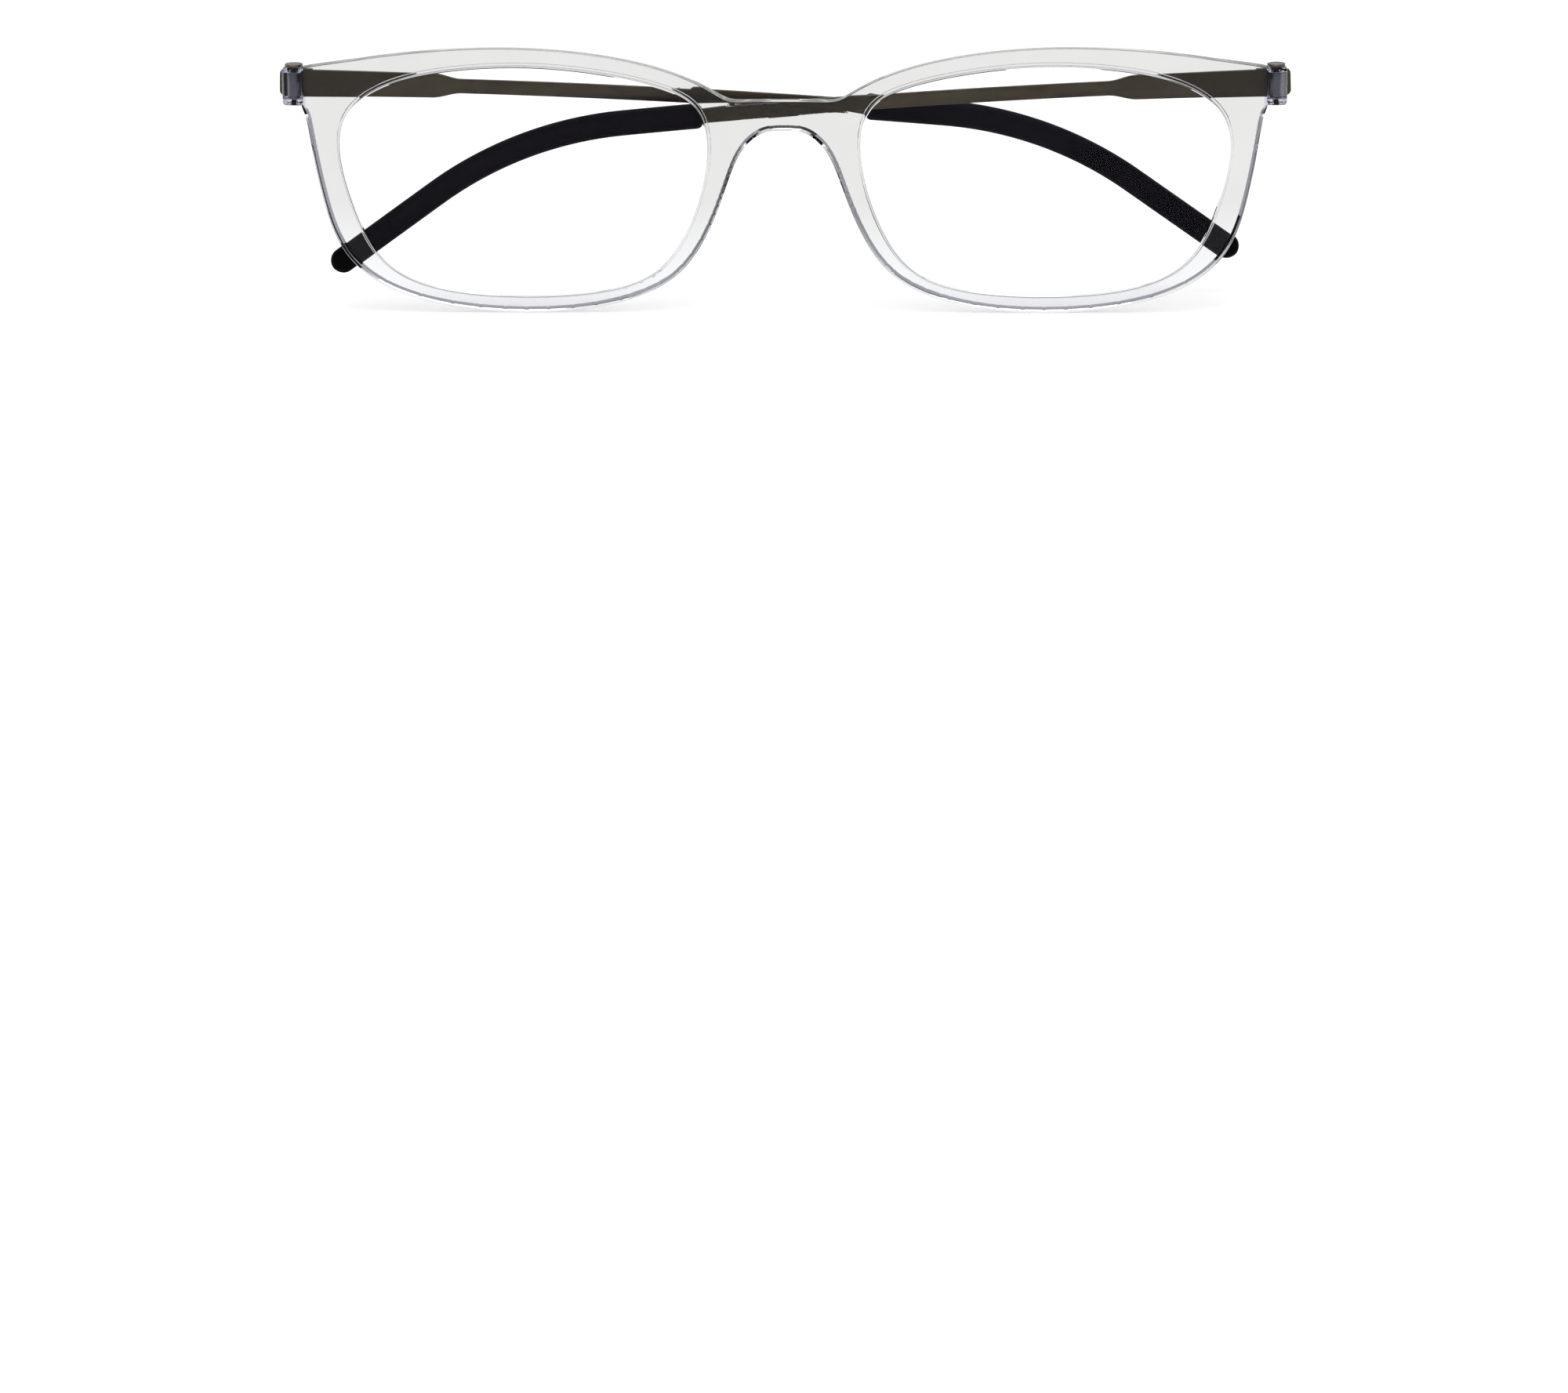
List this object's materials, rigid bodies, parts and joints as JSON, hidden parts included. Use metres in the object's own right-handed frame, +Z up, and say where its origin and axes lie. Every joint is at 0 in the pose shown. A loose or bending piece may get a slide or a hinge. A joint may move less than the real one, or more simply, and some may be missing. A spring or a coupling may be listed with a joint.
{
  "type": "folding reading glasses",
  "caption": "Reading glasses with a clear one-piece front, two lenses and slim dark steel temples with black rubber tips, shown with both temples folded behind the front.",
  "frame": {"origin": "The top of the nose arch, in the middle of the front's thickness, halfway between the two lenses.", "axes": "+Z is up as worn, the front faces -Y, and +X is the wearer's left. The temples are folded at rest and lie behind the front, on its +Y side."},
  "size_m": [0.1384, 0.0168, 0.0366],
  "materials": {
    "clear_plastic": "polished, clear with a faint grey tint",
    "lens": "polished, colourless",
    "screw_metal": "satin bronze",
    "washer_plastic": "natural",
    "knuckle_steel": "satin",
    "dark_steel": "brushed lengthwise, dark gunmetal",
    "black_rubber": "matte"
  },
  "bodies": {
    "front": {"front_frame": "clear_plastic", "lens_left": "lens", "lens_right": "lens", "hinge_screw_left": "screw_metal", "hinge_screw_right": "screw_metal", "upper_washer_left": "washer_plastic", "upper_washer_right": "washer_plastic", "lower_washer_left": "washer_plastic", "lower_washer_right": "washer_plastic"},
    "left_temple": {"hinge_knuckle_left": "knuckle_steel", "temple_strip_left": "dark_steel", "tip_sleeve_left": "black_rubber"},
    "right_temple": {"hinge_knuckle_right": "knuckle_steel", "temple_strip_right": "dark_steel", "tip_sleeve_right": "black_rubber"}
  },
  "joints": [
    {"name": "left_temple_hinge", "type": "hinge", "parent": "front", "child": "left_temple", "pos_m": [0.0671, 0.0009, 0.0061], "axis": [0, 0, -1], "range_deg": [0, 93]},
    {"name": "right_temple_hinge", "type": "hinge", "parent": "front", "child": "right_temple", "pos_m": [-0.0671, 0.0009, 0.0061], "axis": [0, 0, 1], "range_deg": [0, 88]}
  ]
}
